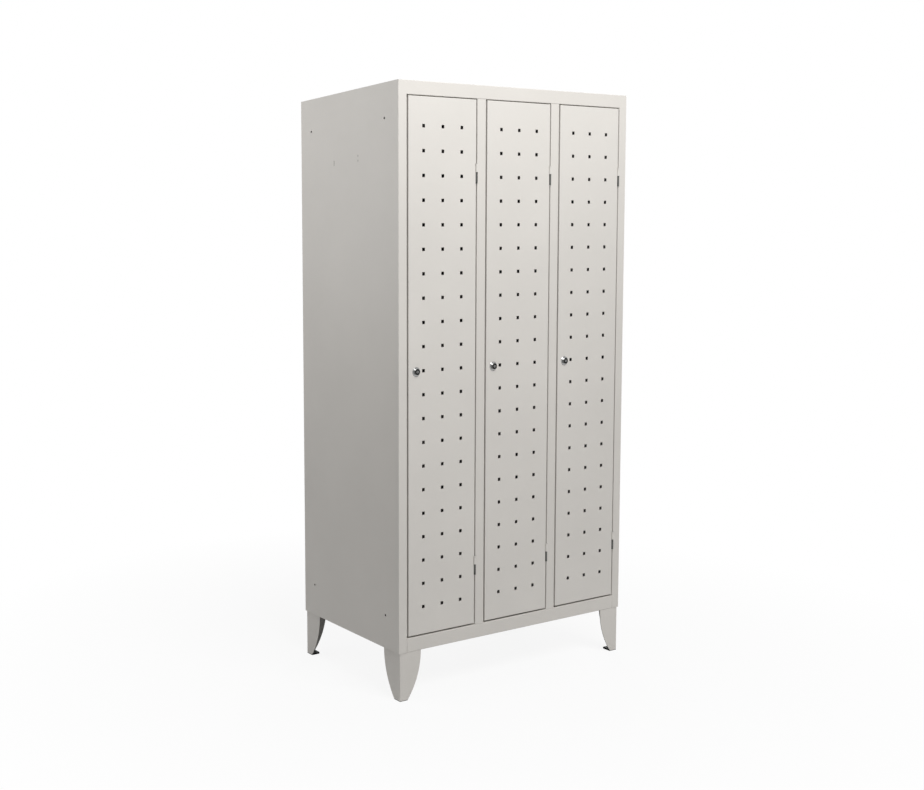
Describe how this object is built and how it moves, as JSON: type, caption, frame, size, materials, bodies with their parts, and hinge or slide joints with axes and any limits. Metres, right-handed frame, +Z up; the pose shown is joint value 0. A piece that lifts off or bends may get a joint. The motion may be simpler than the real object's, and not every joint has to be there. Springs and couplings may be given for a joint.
{
  "type": "three-door locker",
  "caption": "Tall sheet steel clothes locker with perforated hinged doors, cam locks, hat shelves, coat rails and tapered legs.",
  "frame": {"origin": "centre of the cabinet's footprint on the floor", "axes": "+X to the right of a person who faces the doors, +Y to the back, +Z up"},
  "size_m": [0.9, 0.5065, 1.8],
  "materials": {
    "cabinet_paint": "light warm grey powder coat, satin, almost smooth",
    "door_paint": "light warm grey powder coat, satin, almost smooth",
    "chrome": "polished chrome plating",
    "zinc": "zinc plated steel, dull",
    "rail_steel": "plated steel tube, satin",
    "hinge_steel": "dark drawn steel",
    "black_plastic": "black plastic, satin",
    "buffer_rubber": "dark rubber, matt"
  },
  "bodies": {
    "cabinet": {"side_panel_left": "cabinet_paint", "side_panel_right": "cabinet_paint", "base_angle_left": "cabinet_paint", "base_angle_right": "cabinet_paint", "roof_panel": "cabinet_paint", "floor_panel": "cabinet_paint", "back_panel": "cabinet_paint", "mullion_1": "cabinet_paint", "mullion_2": "cabinet_paint", "partition_1": "cabinet_paint", "partition_2": "cabinet_paint", "hat_shelf_1": "cabinet_paint", "hat_shelf_2": "cabinet_paint", "hat_shelf_3": "cabinet_paint", "coat_rail_1": "rail_steel", "coat_rail_2": "rail_steel", "coat_rail_3": "rail_steel", "coat_rail_sockets": "zinc", "frame_knuckles": "hinge_steel", "hinge_pins": "hinge_steel", "door_buffers": "buffer_rubber", "leg_front_left": "cabinet_paint", "leg_front_right": "cabinet_paint", "leg_rear_left": "cabinet_paint", "leg_rear_right": "cabinet_paint", "foot_glides": "black_plastic", "leg_bolts": "zinc", "leg_nuts": "zinc"},
    "door_1": {"door_1_panel": "door_paint", "door_1_knuckles": "door_paint", "lock_1_housing": "chrome", "lock_1_ring": "black_plastic", "lock_1_nut": "zinc"},
    "lock_1": {"lock_1_plug": "chrome", "lock_1_cam": "zinc", "lock_1_cam_screw": "zinc"},
    "door_2": {"door_2_panel": "door_paint", "door_2_knuckles": "door_paint", "lock_2_housing": "chrome", "lock_2_ring": "black_plastic", "lock_2_nut": "zinc"},
    "lock_2": {"lock_2_plug": "chrome", "lock_2_cam": "zinc", "lock_2_cam_screw": "zinc"},
    "door_3": {"door_3_panel": "door_paint", "door_3_knuckles": "door_paint", "lock_3_housing": "chrome", "lock_3_ring": "black_plastic", "lock_3_nut": "zinc"},
    "lock_3": {"lock_3_plug": "chrome", "lock_3_cam": "zinc", "lock_3_cam_screw": "zinc"}
  },
  "joints": [
    {"name": "door_1_hinge", "type": "hinge", "parent": "cabinet", "child": "door_1", "pos_m": [-0.164, -0.25, 0.97275], "axis": [0, 0, 1], "range_deg": [0, 110]},
    {"name": "door_2_hinge", "type": "hinge", "parent": "cabinet", "child": "door_2", "pos_m": [0.127, -0.25, 0.97275], "axis": [0, 0, 1], "range_deg": [0, 110]},
    {"name": "door_3_hinge", "type": "hinge", "parent": "cabinet", "child": "door_3", "pos_m": [0.418, -0.25, 0.97275], "axis": [0, 0, 1], "range_deg": [0, 110]},
    {"name": "lock_1_turn", "type": "hinge", "parent": "door_1", "child": "lock_1", "pos_m": [-0.387, -0.25, 0.97275], "axis": [0, 1, 0], "range_deg": [0, 90]},
    {"name": "lock_2_turn", "type": "hinge", "parent": "door_2", "child": "lock_2", "pos_m": [-0.096, -0.25, 0.97275], "axis": [0, 1, 0], "range_deg": [0, 90]},
    {"name": "lock_3_turn", "type": "hinge", "parent": "door_3", "child": "lock_3", "pos_m": [0.195, -0.25, 0.97275], "axis": [0, 1, 0], "range_deg": [0, 90]}
  ]
}
